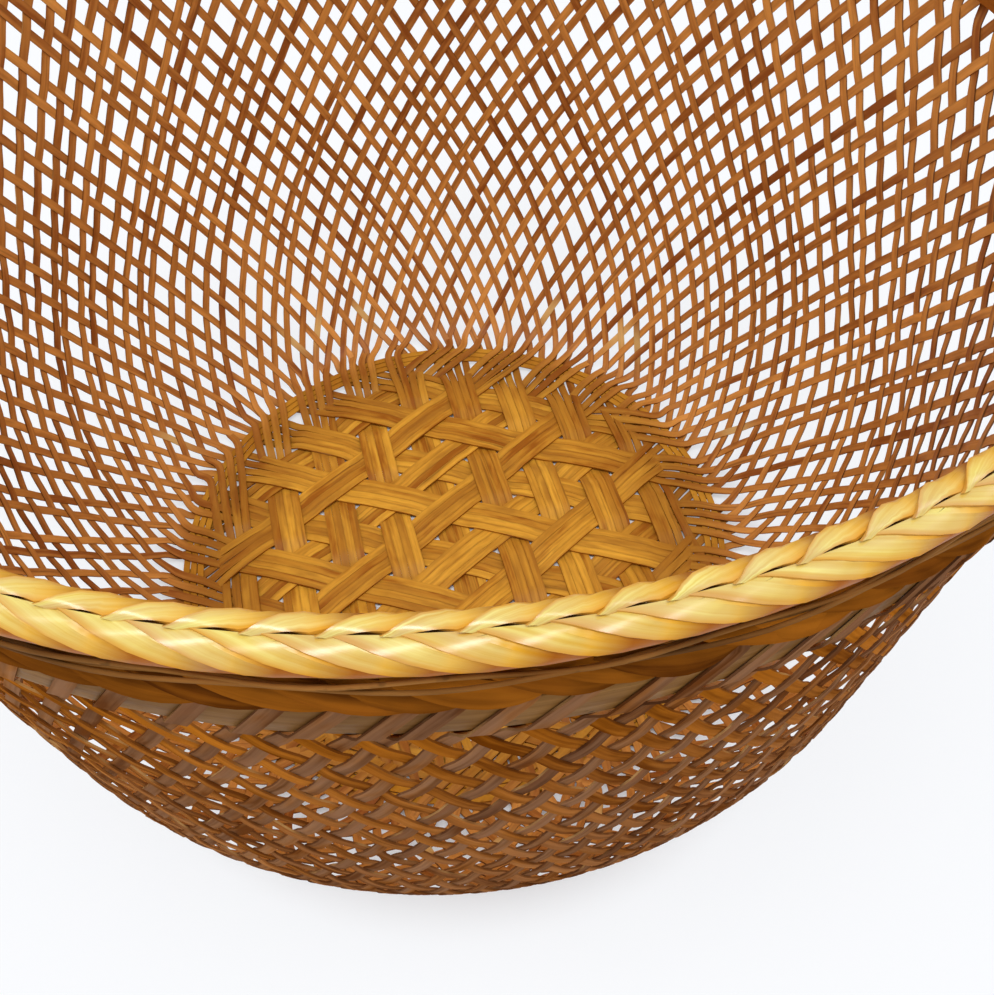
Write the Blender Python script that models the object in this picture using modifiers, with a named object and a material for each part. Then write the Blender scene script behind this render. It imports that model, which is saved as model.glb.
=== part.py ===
"""Round woven bamboo basket at its real size, in metres, +Z up, standing on its base at the origin.

Wide strips cross in three directions to make the base, and a ring is laced round its edge. Beyond
the base the strip ends are split into narrow splints that climb the wall, half of them leaning
right and half leaning left. Flat hoops, a braided border and a wrapped rim hold their upper ends.
The woven wall is one thin net here, with a coarser mesh than the real one, between a closed band at
its foot and one at its top. The strips of the base lie flat, in three layers.
"""

import math

import bmesh
import bpy

# Outline of the basket
BASE_RADIUS = 0.110
RIM_RADIUS = 0.1606
RIM_HEIGHT = 0.2151
SHOULDER_HEIGHT = 0.082
WALL_FLARE = 0.0123
FOOT_LEAN = math.radians(47.0)

# Gaps: between neighbours that touch, and where a straight end meets a round face
CLEARANCE = 0.0003
ROUND_CLEARANCE = 0.0005

# Base strips, with how far each direction's strips are shifted sideways, as a share of the pitch
STRIP_PITCH = 0.0212
STRIP_WIDTH = 0.0128
STRIP_THICKNESS = 0.0009
STRIP_EDGE_MARGIN = 0.008
WAY_ANGLES = {"a": math.radians(100.0), "b": math.radians(40.0), "c": math.radians(-20.0)}
WAY_SHIFT_SHARES = {"a": 0.0, "b": -0.37, "c": -0.37}

# Ring that is laced round the edge of the base
BASE_RING_WIDTH = 0.0066
BASE_RING_THICKNESS = 0.0009
BASE_RING_INSET = 0.002

# Wall: two crossing layers of splints, with the slack that the weave needs
SPLINT_THICKNESS = 0.0008
WEAVE_SLACK = 0.0002

# Net of the wall: diamond openings, with bars of one width, between a foot band and a top band
FOOT_BAND_HEIGHT = 0.009
TOP_BAND_DROP = 0.031
NET_BAR_WIDTH = 0.0080
NET_COLUMNS = 24
NET_HEIGHT_SHARES = (0.0, 0.09, 0.22, 0.405, 0.6, 0.8, 1.0)
FOOT_BAND_SHARES = (0.5, 1.0)
TOP_BAND_SHARES = (0.5, 1.0)

# Hoops, flat bands that stand on edge near the top
HOOP_WIDTH = 0.010
HOOP_THICKNESS = 0.0009
HOOP_DROP = 0.0158

# Border that is braided under the rim: how far it swells, and how far down, from top to bottom
BORDER_THICKNESS = 0.0026
BORDER_SWELL_SHARES = ((0.0, 0.0), (0.45, 0.12), (0.95, 0.38), (1.0, 0.62), (0.5, 0.9), (0.0, 1.0))

# Rim: a round core with a wrapping that is open below, where the wall comes in
WRAP_RADIUS = 0.0040
WRAP_THICKNESS = 0.0010
WRAP_ARC_POINTS = 11

# Facets
COLUMN_FACETS = 3
RING_STEPS = NET_COLUMNS * COLUMN_FACETS
CORE_SIDES = 8
MERGE_DISTANCE = 0.00001

# Worked out: layers of the base
LAYER_STEP = STRIP_THICKNESS + CLEARANCE
BASE_TOP = len(WAY_ANGLES) * LAYER_STEP - CLEARANCE

# Worked out: the wall's thickness on either side of its middle
WALL_HALF = SPLINT_THICKNESS + WEAVE_SLACK / 2

# Worked out: the wall's foot, just outside the ends of the strips
FOOT_RADIUS = BASE_RADIUS + ROUND_CLEARANCE + WALL_HALF * math.cos(FOOT_LEAN)
FOOT_HEIGHT = WALL_HALF * math.sin(FOOT_LEAN) + CLEARANCE
WALL_RISE = RIM_HEIGHT - FOOT_HEIGHT
BOWL_RISE = SHOULDER_HEIGHT - FOOT_HEIGHT
BOWL_SWELL = RIM_RADIUS - FOOT_RADIUS - WALL_FLARE
BOWL_POWER = (math.tan(FOOT_LEAN) - WALL_FLARE / WALL_RISE) * BOWL_RISE / BOWL_SWELL

# Worked out: heights under the rim
HOOP_TOP = RIM_HEIGHT - HOOP_DROP
HOOP_BOTTOM = HOOP_TOP - HOOP_WIDTH
CORE_RADIUS = WRAP_RADIUS - WRAP_THICKNESS - CLEARANCE
WALL_TOP = RIM_HEIGHT - CORE_RADIUS - CLEARANCE
NET_BOTTOM = FOOT_HEIGHT + FOOT_BAND_HEIGHT
NET_TOP = WALL_TOP - TOP_BAND_DROP
BORDER_TOP = RIM_HEIGHT - WRAP_RADIUS - CLEARANCE
BORDER_BOTTOM = HOOP_TOP + CLEARANCE

# Colours of the base, the aged wall, the hoops and the golden rim
BASE_COLOUR = (0.45, 0.24, 0.05)
RING_COLOUR = (0.38, 0.19, 0.05)
WALL_COLOUR = (0.40, 0.15, 0.03)
HOOP_COLOUR = (0.25, 0.15, 0.07)
BORDER_COLOUR = (0.28, 0.12, 0.03)
CORE_COLOUR = (0.40, 0.25, 0.10)
WRAP_COLOUR = (0.83, 0.50, 0.12)

# Roughness of split bamboo, of its worn skin and of the glossy wrapping
SPLIT_ROUGHNESS = 0.5
SKIN_ROUGHNESS = 0.45
GLOSSY_ROUGHNESS = 0.3


def clear_scene():
    """Remove what a new file holds."""
    for obj in list(bpy.data.objects):
        bpy.data.objects.remove(obj, do_unlink=True)


def new_collection(name):
    """Make the collection that holds the basket's parts."""
    collection = bpy.data.collections.new(name)
    bpy.context.scene.collection.children.link(collection)
    return collection


def finish_part(obj, colour, roughness, collection):
    """Give a part its own material and put it in the basket's collection."""
    material = bpy.data.materials.new(obj.name)
    material.use_nodes = True
    shader = material.node_tree.nodes["Principled BSDF"]
    shader.inputs["Base Color"].default_value = (*colour, 1.0)
    shader.inputs["Roughness"].default_value = roughness
    shader.inputs["Metallic"].default_value = 0.0
    obj.data.materials.append(material)
    collection.objects.link(obj)


def add_wall_thickness(obj, thickness, offset):
    """Turn an open surface into a closed strip of the given thickness."""
    solid = obj.modifiers.new("thickness", "SOLIDIFY")
    solid.thickness = thickness
    solid.offset = offset
    solid.use_even_offset = True


def turn_profile(name, points, closed):
    """Turn a profile, given as (radius, height) points, round the Z axis."""
    mesh = bpy.data.meshes.new(name)
    edges = [(i, i + 1) for i in range(len(points) - 1)]
    if closed:
        edges.append((len(points) - 1, 0))
    mesh.from_pydata([(radius, 0.0, height) for radius, height in points], edges, [])
    obj = bpy.data.objects.new(name, mesh)
    screw = obj.modifiers.new("turn", "SCREW")
    screw.axis = "Z"
    screw.steps = RING_STEPS
    screw.render_steps = RING_STEPS
    screw.use_smooth_shade = True
    screw.use_merge_vertices = True
    screw.merge_threshold = MERGE_DISTANCE
    return obj


def wall_radius(height):
    """Radius of the wall's middle: a bowl up to the shoulder, on a wall that flares all the way."""
    rise_share = (height - FOOT_HEIGHT) / WALL_RISE
    bowl_share = min(max((height - FOOT_HEIGHT) / BOWL_RISE, 0.0), 1.0)
    swell = BOWL_SWELL * (1.0 - (1.0 - bowl_share) ** BOWL_POWER)
    return FOOT_RADIUS + WALL_FLARE * rise_share + swell


def make_base_strips(collection):
    """Lay the wide strips of the base, one layer for each of the three directions."""
    widest_offset = BASE_RADIUS - STRIP_EDGE_MARGIN - STRIP_WIDTH / 2
    for layer, (way, angle) in enumerate(WAY_ANGLES.items()):
        shift = WAY_SHIFT_SHARES[way] * STRIP_PITCH
        first = math.ceil((-widest_offset - shift) / STRIP_PITCH)
        last = math.floor((widest_offset - shift) / STRIP_PITCH)
        for number in range(first, last + 1):
            name = f"base_strip_{way}_{number - first + 1}"
            middle = number * STRIP_PITCH + shift
            low_edge = middle - STRIP_WIDTH / 2
            high_edge = middle + STRIP_WIDTH / 2
            low_reach = math.sqrt(BASE_RADIUS ** 2 - low_edge ** 2)
            high_reach = math.sqrt(BASE_RADIUS ** 2 - high_edge ** 2)
            outline = bpy.data.curves.new(name, "CURVE")
            outline.dimensions = "2D"
            outline.fill_mode = "BOTH"
            outline.extrude = STRIP_THICKNESS / 2
            corners = ((-low_reach, low_edge), (low_reach, low_edge),
                       (high_reach, high_edge), (-high_reach, high_edge))
            spline = outline.splines.new("POLY")
            spline.points.add(len(corners) - 1)
            for point, (along, across) in zip(spline.points, corners):
                point.co = (along, across, 0.0, 1.0)
            spline.use_cyclic_u = True
            strip = bpy.data.objects.new(name, outline)
            strip.location = (0.0, 0.0, layer * LAYER_STEP + STRIP_THICKNESS / 2)
            strip.rotation_euler = (0.0, 0.0, angle)
            finish_part(strip, BASE_COLOUR, SPLIT_ROUGHNESS, collection)


def make_base_ring(collection):
    """Lay the flat ring on the strips, just inside the edge of the base."""
    outer = BASE_RADIUS - BASE_RING_INSET
    inner = outer - BASE_RING_WIDTH
    bottom = BASE_TOP + CLEARANCE
    top = bottom + BASE_RING_THICKNESS
    section = [(outer, top), (outer, bottom), (inner, bottom), (inner, top)]
    ring = turn_profile("base_ring", section, True)
    finish_part(ring, RING_COLOUR, SPLIT_ROUGHNESS, collection)


def wrap_on_wall(mesh):
    """Move every point to the wall's middle at its own height, keeping its direction from the axis."""
    for vert in mesh.verts:
        direction = vert.co.copy()
        direction.z = 0.0
        direction.normalize()
        place = direction * wall_radius(vert.co.z)
        vert.co = (place.x, place.y, vert.co.z)


def rise_to(mesh, edges, heights):
    """Extrude a ring of edges from one height to the next, and return the last ring."""
    for height in heights:
        grown = bmesh.ops.extrude_edge_only(mesh, edges=edges)["geom"]
        edges = [item for item in grown if isinstance(item, bmesh.types.BMEdge)
                 and all(vert in grown for vert in item.verts)]
        for item in grown:
            if isinstance(item, bmesh.types.BMVert):
                item.co.z = height
    return edges


def make_net(mesh):
    """Make the net between the bands: diamonds of a diagonal grid, each opened inside its bars."""
    circle = bmesh.ops.create_circle(mesh, segments=NET_COLUMNS, radius=RIM_RADIUS)
    for vert in circle["verts"]:
        vert.co.z = NET_BOTTOM
    heights = [NET_BOTTOM + share * (NET_TOP - NET_BOTTOM) for share in NET_HEIGHT_SHARES]
    rise_to(mesh, list(mesh.edges), heights[1:])
    wrap_on_wall(mesh)
    straight = [edge for edge in mesh.edges if not edge.is_boundary]
    bmesh.ops.poke(mesh, faces=list(mesh.faces))
    bmesh.ops.dissolve_edges(mesh, edges=straight, use_verts=False)
    diamonds = [face for face in mesh.faces if not any(edge.is_boundary for edge in face.edges)]
    bmesh.ops.inset_individual(mesh, faces=diamonds, thickness=NET_BAR_WIDTH / 2, use_even_offset=True)
    bmesh.ops.delete(mesh, geom=diamonds, context="FACES")


def ring_at(mesh, height):
    """The ring of edges that lies at a height."""
    return [edge for edge in mesh.edges
            if all(abs(vert.co.z - height) < MERGE_DISTANCE for vert in edge.verts)]


def make_wall(collection):
    """Make the woven wall as one thin net, with a solid band at its foot and one up to the core."""
    mesh = bmesh.new()
    make_net(mesh)
    for height in (NET_BOTTOM, NET_TOP):
        bmesh.ops.subdivide_edges(mesh, edges=ring_at(mesh, height), cuts=COLUMN_FACETS - 1)
    foot_heights = [NET_BOTTOM - share * (NET_BOTTOM - FOOT_HEIGHT) for share in FOOT_BAND_SHARES]
    rise_to(mesh, ring_at(mesh, NET_BOTTOM), foot_heights)
    top_heights = [NET_TOP + share * (WALL_TOP - NET_TOP) for share in TOP_BAND_SHARES]
    rise_to(mesh, ring_at(mesh, NET_TOP), top_heights)
    wrap_on_wall(mesh)
    bmesh.ops.recalc_face_normals(mesh, faces=list(mesh.faces))
    wall_mesh = bpy.data.meshes.new("woven_wall")
    mesh.to_mesh(wall_mesh)
    mesh.free()
    wall = bpy.data.objects.new("woven_wall", wall_mesh)
    add_wall_thickness(wall, 2 * WALL_HALF, 0.0)
    finish_part(wall, WALL_COLOUR, SKIN_ROUGHNESS, collection)


def make_hoop(name, outer_offset, collection):
    """Turn a flat band on edge, whose outer face lies at an offset from the wall's middle."""
    outer_face = [(wall_radius(height) + outer_offset, height) for height in (HOOP_TOP, HOOP_BOTTOM)]
    inner_face = [(radius - HOOP_THICKNESS, height) for radius, height in reversed(outer_face)]
    section = outer_face + inner_face
    hoop = turn_profile(name, section, True)
    finish_part(hoop, HOOP_COLOUR, SKIN_ROUGHNESS, collection)


def make_border(collection):
    """Turn the braided border's outer shape, outside the wall, between the rim and the hoop."""
    section = []
    for swell_share, drop_share in BORDER_SWELL_SHARES:
        height = BORDER_TOP - drop_share * (BORDER_TOP - BORDER_BOTTOM)
        seat = wall_radius(height) + WALL_HALF + CLEARANCE
        section.append((seat + swell_share * BORDER_THICKNESS, height))
    border = turn_profile("border_braid", section, True)
    finish_part(border, BORDER_COLOUR, SPLIT_ROUGHNESS, collection)


def rim_point(radius, angle):
    """Radius and height of a point at a radius and angle round the middle of the rim."""
    return (RIM_RADIUS + radius * math.cos(angle), RIM_HEIGHT + radius * math.sin(angle))


def make_rim_core(collection):
    """Make the round core that the wrapping goes over."""
    section = []
    for side in range(CORE_SIDES):
        angle = math.pi / 2 - (side + 0.5) * 2 * math.pi / CORE_SIDES
        section.append(rim_point(CORE_RADIUS, angle))
    core = turn_profile("rim_core", section, True)
    finish_part(core, CORE_COLOUR, SPLIT_ROUGHNESS, collection)


def make_rim_wrap(collection):
    """Make the golden wrapping, a tube over the core that is open below for the wall."""
    inner_radius = WRAP_RADIUS - WRAP_THICKNESS
    half_opening = math.asin(min((WALL_HALF + ROUND_CLEARANCE) / inner_radius, 1.0))
    start = -math.pi / 2 - half_opening
    sweep = 2 * math.pi - 2 * half_opening
    section = []
    for number in range(WRAP_ARC_POINTS):
        angle = start - sweep * number / (WRAP_ARC_POINTS - 1)
        section.append(rim_point(WRAP_RADIUS, angle))
    wrap = turn_profile("rim_wrap", section, False)
    add_wall_thickness(wrap, WRAP_THICKNESS, -1.0)
    finish_part(wrap, WRAP_COLOUR, GLOSSY_ROUGHNESS, collection)


clear_scene()
basket = new_collection("bamboo_basket")
make_base_strips(basket)
make_base_ring(basket)
make_wall(basket)
make_hoop("outer_hoop", WALL_HALF + CLEARANCE + HOOP_THICKNESS, basket)
make_hoop("inner_hoop", -WALL_HALF - CLEARANCE, basket)
make_border(basket)
make_rim_core(basket)
make_rim_wrap(basket)
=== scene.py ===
"""Round bamboo basket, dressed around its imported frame: woven base and wall, hoops, border and rim."""

import math

import bpy
import numpy as np
from mathutils import Matrix, Vector


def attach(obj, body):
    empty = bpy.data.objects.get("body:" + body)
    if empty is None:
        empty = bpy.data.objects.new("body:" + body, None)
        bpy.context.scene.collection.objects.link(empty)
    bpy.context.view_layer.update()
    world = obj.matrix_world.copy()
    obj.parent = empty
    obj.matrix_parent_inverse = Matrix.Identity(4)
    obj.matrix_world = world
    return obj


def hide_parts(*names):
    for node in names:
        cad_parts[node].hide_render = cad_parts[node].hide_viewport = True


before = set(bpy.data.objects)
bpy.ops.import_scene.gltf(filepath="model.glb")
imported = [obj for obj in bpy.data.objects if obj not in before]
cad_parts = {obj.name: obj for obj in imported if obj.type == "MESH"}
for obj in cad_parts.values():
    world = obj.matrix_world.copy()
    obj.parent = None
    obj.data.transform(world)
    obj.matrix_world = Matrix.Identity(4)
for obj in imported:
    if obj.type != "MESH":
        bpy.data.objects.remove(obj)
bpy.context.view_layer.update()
bpy.ops.object.select_all(action="DESELECT")


# STRIPS
# 27 strips of split bamboo, nine in each of three directions, woven over and under each other to
# make the base. Each is slit into four splints, and the eight ends of these climb the wall, half
# of them leaning right and half leaning left, plain woven all the way up to the rim.
STRIPS_PER_SIDE = 4
STRIP_PITCH = 0.0212
SPLINTS = 4
SPLINT_PITCH = 0.0032
BASE_WIDTH, ROOT_WIDTH, RIM_WIDTH = 0.00318, 0.00276, 0.00310
BASE_THICKNESS, WALL_THICKNESS = 0.00072, 0.00044
SPLINT_CROWN = 0.00006

# Direction of each way's strips in degrees, and their shift sideways as a share of the pitch
WAYS = {"a": (100.0, 0.0), "b": (40.0, -0.37), "c": (-20.0, -0.37)}

# Outline of the wall's middle, as in the frame
FOOT_RADIUS, FOOT_HEIGHT = 0.11111, 0.00096
SHOULDER_HEIGHT, RIM_RADIUS, RIM_HEIGHT = 0.082, 0.1606, 0.2151
WALL_FLARE, BOWL_SWELL, BOWL_POWER = 0.0123, 0.03719, 2.2066
WALL_TOP = 0.2119

# Where the base turns up into the wall, and how the four splints of a strip fan out before that
SPLIT_RADIUS, RING_MIDDLE = 0.1035, 0.0026
TURN_HEIGHT, TURN_REACH = 0.0090, 1.1
FAN_FROM, FAN = 0.080, 0.34

# Steps of the wall's outline, of its turn, and of the splints on the wall and on the base
WALL_STEPS, TURN_STEPS, LEVELS = 800, 120, 156
RUNG_STEP, FEWEST_RUNGS = 0.0019, 16
SHARP_EDGE = math.radians(50.0)

# Base weave: rise from layer to layer, and where between two crossings a strip changes layers
LAYER_STEP, BASE_LIFT = 0.00098, 0.0001
CHANGE = (0.34, 0.66)

# Wall weave: its depth, and how splints part round the ring and the hoops and close above these.
# The ring is reached between two radii and left between two shares of the climb, and the hoops
# are reached and left between two heights.
SPLINTS_PER_LEAN = 108
WEAVE_DEPTH, WEAVE_STEEPNESS = 0.00024, 1.35
RING_PARTING = 0.00095
RING_REACHED, RING_LEFT = (0.088, 0.1005), (0.012, 0.045)
HOOP_LOW, HOOP_HIGH = 0.1893, 0.1993
HOOP_PARTING = 0.0025
HOOP_REACHED = (HOOP_LOW - 0.0065, HOOP_LOW - 0.0005)
HOOP_LEFT = (HOOP_HIGH + 0.0003, HOOP_HIGH + 0.0035)
ABOVE_HOOP = {"right": -0.00045, "left": 0.00035}

# How far each lean turns on its way up, where splints stand closer, and how soon bundles spread.
# Pairs are shares of the climb, between which a change takes place.
TURN_RIGHT, TURN_LEFT = math.radians(49.0), math.radians(59.0)
CLOSER_IN_FRONT, CLOSER_AT_SIDE, CLOSER_AT_LEFT = 0.01, 0.02, 0.02
CLOSER = (0.05, 0.6)
BUNDLE_CLIMB, SECTOR_CLIMB, SOFT_END = 0.10, 0.42, 0.14
SECTOR_REACH = 3
STRAIGHT_CLIMB, LINE_CLIMB, SLIM_CLIMB = 0.045, 0.06, 0.06

# Handwork: a strip's bow across the base, and each splint's waves on the wall in splint places
BOW, BOW_TURN = 0.0005, 4.0
WAVES = ((0.0, 0.15), (0.55, 0.10), (1.3, 0.045), (2.9, 0.012))
WAVE_MOST, WAVES_FROM = 0.3, (0.02, 0.25)
WIDTH_VARIES = 0.012

# Look: radii where the base's look gives way to the wall's and where the splints get thin, the
# spread of tones, the share of splints with a painted highlight where they bend up, its height and
# reach, and the length over which fibres may start
LOOK_CHANGE, THINNING = (0.093, 0.117), (0.100, 0.112)
STRIP_TONES, SPLINT_TONES = 0.7, 0.8
GLINT_SHARE, GLINT_HEIGHT, GLINT_REACH = 0.14, 0.015, 0.005
FIBRE_STARTS = 40.0

# Places across a ribbon, and round its section: along its upper face and back along the lower one
COLUMNS = np.array([-1.0, 0.0, 1.0])
ROUND = np.concatenate([COLUMNS, COLUMNS[::-1]])
UPPER, LOWER, EDGE = 0, 1, 2


def ease(value, low, high):
    """Smooth step from 0 at low to 1 at high."""
    share = np.clip((value - low) / (high - low), 0.0, 1.0)
    return share * share * (3.0 - 2.0 * share)


def wall_radius(height):
    """Radius of the wall's middle at a height."""
    rise = (height - FOOT_HEIGHT) / (RIM_HEIGHT - FOOT_HEIGHT)
    bowl = np.clip((height - FOOT_HEIGHT) / (SHOULDER_HEIGHT - FOOT_HEIGHT), 0.0, 1.0)
    return FOOT_RADIUS + WALL_FLARE * rise + BOWL_SWELL * (1.0 - (1.0 - bowl) ** BOWL_POWER)


def length_along(line):
    """Length run up to each point of a line."""
    return np.concatenate([[0.0], np.cumsum(np.linalg.norm(np.diff(line, axis=0), axis=1))])


def side_outline():
    """Run, radius, height and inward normal of the middle surface, from the split to the rim."""
    heights = np.linspace(TURN_HEIGHT, WALL_TOP, WALL_STEPS)
    radii = wall_radius(heights)
    end = np.array([radii[1] - radii[0], heights[1] - heights[0]])
    end /= np.linalg.norm(end)
    start = np.array([SPLIT_RADIUS, RING_MIDDLE])
    stop = np.array([radii[0], heights[0]])
    span = np.linalg.norm(stop - start)
    share = np.linspace(0.0, 1.0, TURN_STEPS)[:-1, None]
    turn = ((2 * share ** 3 - 3 * share ** 2 + 1) * start + (share ** 3 - 2 * share ** 2 + share)
            * np.array([span * TURN_REACH, 0.0]) + (3 * share ** 2 - 2 * share ** 3) * stop
            + (share ** 3 - share ** 2) * end * span)
    line = np.vstack([turn, np.stack([radii, heights], 1)])
    run = length_along(line)
    levels = np.linspace(0.0, 1.0, LEVELS) * run[-1]
    radius = np.interp(levels, run, line[:, 0])
    height = np.interp(levels, run, line[:, 1])
    tangent = np.gradient(np.stack([radius, height], 1), axis=0)
    tangent /= np.linalg.norm(tangent, axis=1)[:, None]
    return levels, radius, height, np.stack([-tangent[:, 1], tangent[:, 0]], 1)


arc, level_radius, level_height, level_normal = side_outline()
climb = arc / arc[-1]


def list_ends():
    """Every splint end: its strip, the end of the strip, its place across, lean and root azimuth."""
    ends = []
    for way, (angle, shift) in WAYS.items():
        for number in range(-STRIPS_PER_SIDE, STRIPS_PER_SIDE + 1):
            middle = (number + shift) * STRIP_PITCH
            for slit in range(SPLINTS):
                place = slit - (SPLINTS - 1) / 2
                across = middle + place * SPLINT_PITCH
                fanned = middle + place * SPLINT_PITCH * (1.0 + FAN)
                for side in (1, -1):
                    sense = place if number == 0 else middle
                    lean = "right" if sense * side < 0 else "left"
                    outward = math.radians(angle) + (0.0 if side > 0 else math.pi)
                    root = outward + math.asin(side * fanned / SPLIT_RADIUS)
                    root = (root + math.pi) % (2 * math.pi) - math.pi
                    ends.append(dict(way=way, number=number, slit=slit, side=side, lean=lean,
                                     across=across, fanned=fanned, root=root))
    return ends


def lasting(until):
    """A share that falls in a straight line from 1 at the foot to 0 at a climb, with a soft end."""
    soft = SOFT_END * until
    left = np.log1p(np.exp((until - climb) / soft))[None, :]
    return left / left[0, 0]


def azimuths(ends, lean, chance):
    """Azimuth of each splint of one lean at every level, sorted by root, and each end's rank."""
    mine = sorted((e for e in ends if e["lean"] == lean), key=lambda e: e["root"])
    sense = 1.0 if lean == "right" else -1.0
    turn = TURN_RIGHT if lean == "right" else TURN_LEFT
    root = np.array([e["root"] for e in mine])[:, None]
    slant = np.abs(np.array([e["fanned"] for e in mine]))[:, None] / level_radius[None, :]
    rank = np.arange(len(mine))
    per_turn = len(mine) / (2 * math.pi)

    # Straight on from the strip's own direction, then along a line that runs to an even place
    straight = np.cumsum(slant / np.sqrt(1.0 - slant ** 2) / level_radius * np.gradient(arc), axis=1)
    straight = root + sense * (straight - straight[:, :1])
    low = int(LINE_CLIMB * LEVELS)
    start = np.mean(straight[:, low] * per_turn - rank) - sense * turn * climb[low] * per_turn
    place = (rank[:, None] + start) / per_turn + sense * turn * climb[None, :]
    closer = ease(climb, *CLOSER)[None, :]
    slot = place
    for _ in range(8):
        slot = place - closer * (CLOSER_IN_FRONT * np.cos(slot)
                                 + (sense * CLOSER_AT_SIDE - CLOSER_AT_LEFT) * np.sin(slot))
    astray = root - slot[:, :1]
    near = range(-SECTOR_REACH, SECTOR_REACH + 1)
    sector = sum(np.roll(astray, step, axis=0) for step in near) / len(near)
    spread = slot + lasting(BUNDLE_CLIMB) * (astray - sector) + lasting(SECTOR_CLIMB) * sector
    share = ease(climb, 0.0, STRAIGHT_CLIMB)[None, :]
    azimuth = (1.0 - share) * straight + share * spread

    wander = np.zeros_like(azimuth)
    for turns, amount in WAVES:
        phase = chance.uniform(0.0, 2 * math.pi, (len(mine), 1))
        size = chance.normal(0.0, amount, (len(mine), 1))
        wander += size * np.cos(2 * math.pi * turns * climb[None, :] + phase)
    azimuth += np.clip(wander, -WAVE_MOST, WAVE_MOST) / per_turn * ease(climb, *WAVES_FROM)[None, :]
    for number, end in enumerate(mine):
        end["rank"] = number
    return azimuth


# The lattice of each lean: azimuths by level and rank, over three turns round the basket
chance = np.random.default_rng(41)
ends = list_ends()
lattice = {}
for lean in ("right", "left"):
    turns = np.arange(-1, 2)[:, None, None] * 2 * math.pi
    places = azimuths(ends, lean, chance)[None] + turns
    lattice[lean] = np.swapaxes(places.reshape(-1, LEVELS), 0, 1)


def crossing_count(lean, level, azimuth):
    """Where an azimuth lies among the splints of one lean at a level, counted in splints."""
    places = lattice[lean][level]
    return np.interp(azimuth, places, np.arange(len(places)))


def side_offset(lean, rank, level, azimuth):
    """Distance of a splint's middle from the wall's middle, inward positive."""
    other = "left" if lean == "right" else "right"
    count = crossing_count(other, level, azimuth) + rank
    sense = -1.0 if lean == "right" else 1.0
    wave = np.clip(WEAVE_STEEPNESS * np.cos(math.pi * count), -1.0, 1.0)
    woven = -sense * wave * WEAVE_DEPTH
    at_ring = 1.0 - ease(climb[level], *RING_LEFT)
    at_hoop = ease(level_height[level], *HOOP_REACHED)
    above = ease(level_height[level], *HOOP_LEFT)
    parted = ABOVE_HOOP[lean] * above
    if lean == "right":
        parted = parted - HOOP_PARTING * (1.0 - above)
    below = woven * (1.0 - at_ring) + sense * RING_PARTING * at_ring
    return (1.0 - at_hoop) * below + at_hoop * parted


# Which strip lies on top where three cross: the other two take the middle and the bottom layer
TOP_EXCHANGES = {(0, 1): "b", (2, -1): "b", (-2, 1): "c"}


def layers_at(row, column):
    """Layer of each direction's strip, from 0 at the bottom to 2 on top, at a crossing."""
    if column % 2 == 0:
        layers = {"c": 2, "b": 1, "a": 0} if row % 2 == 0 else {"b": 2, "c": 1, "a": 0}
    else:
        layers = {"a": 2, "c": 1, "b": 0} if row % 2 == 0 else {"a": 2, "b": 1, "c": 0}
    raised = TOP_EXCHANGES.get((row, column))
    if raised:
        topmost = max(layers, key=layers.get)
        layers[topmost], layers[raised] = layers[raised], layers[topmost]
    return layers


def way_direction(way):
    angle = math.radians(WAYS[way][0])
    return Vector((math.cos(angle), math.sin(angle)))


def strip_layers(way, number):
    """Places along a strip where others cross it, with the strip's layer at each."""
    step = STRIP_PITCH / math.sin(math.radians(60.0))
    shift_b, shift_c = WAYS["b"][1], WAYS["c"][1]
    found = []
    for row in range(-9, 12):
        for column in range(-9, 12):
            line = {"a": 1 - row - column, "b": 2 - row, "c": column + 1}[way]
            if line == number:
                along_c, along_b = row - (2 + shift_b), column + (1 + shift_c)
                point = step * (along_c * way_direction("c") + along_b * way_direction("b"))
                found.append((point.dot(way_direction(way)), layers_at(row, column)[way]))
    return sorted(found)


def base_height(way, number, along):
    """Height of a strip's middle above the floor, from one crossing to the next."""
    places = strip_layers(way, number)
    at = np.array([p for p, layer in places])
    level = np.array([layer for p, layer in places], float)
    index = np.clip(np.searchsorted(at, along) - 1, 0, len(at) - 2)
    share = (along - at[index]) / (at[index + 1] - at[index])
    height = level[index] + (level[index + 1] - level[index]) * ease(share, *CHANGE)
    return BASE_THICKNESS / 2 + BASE_LIFT + height * LAYER_STEP


def ribbon_faces(rungs):
    """Faces of a closed ribbon whose rungs go round its section, and which side each is on."""
    across, around = len(COLUMNS), len(ROUND)
    faces, sides = [], []
    for rung in range(rungs - 1):
        for k in range(around):
            a, b = rung * around + k, rung * around + (k + 1) % around
            faces.append((a, b, b + around, a + around))
            sides.append(EDGE if k in (across - 1, around - 1) else LOWER if k >= across else UPPER)
    last = (rungs - 1) * around
    faces.append(tuple(reversed(range(around))))
    faces.append(tuple(range(last, last + around)))
    return faces, sides + [EDGE, EDGE]


def ribbon_points(middle, normal, thickness):
    """Points of a ribbon, whose middle surface is given as rungs x columns x positions."""
    upper = middle + normal * (thickness / 2)
    lower = middle - normal * (thickness / 2)
    return np.concatenate([upper, lower[:, ::-1]], axis=1)


def fibre_map(length, over, start):
    """A ribbon's map in metres: along its fibres, and across them."""
    return np.stack(np.broadcast_arrays(length[:, None] + start, over[None, :]), 2)


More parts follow.
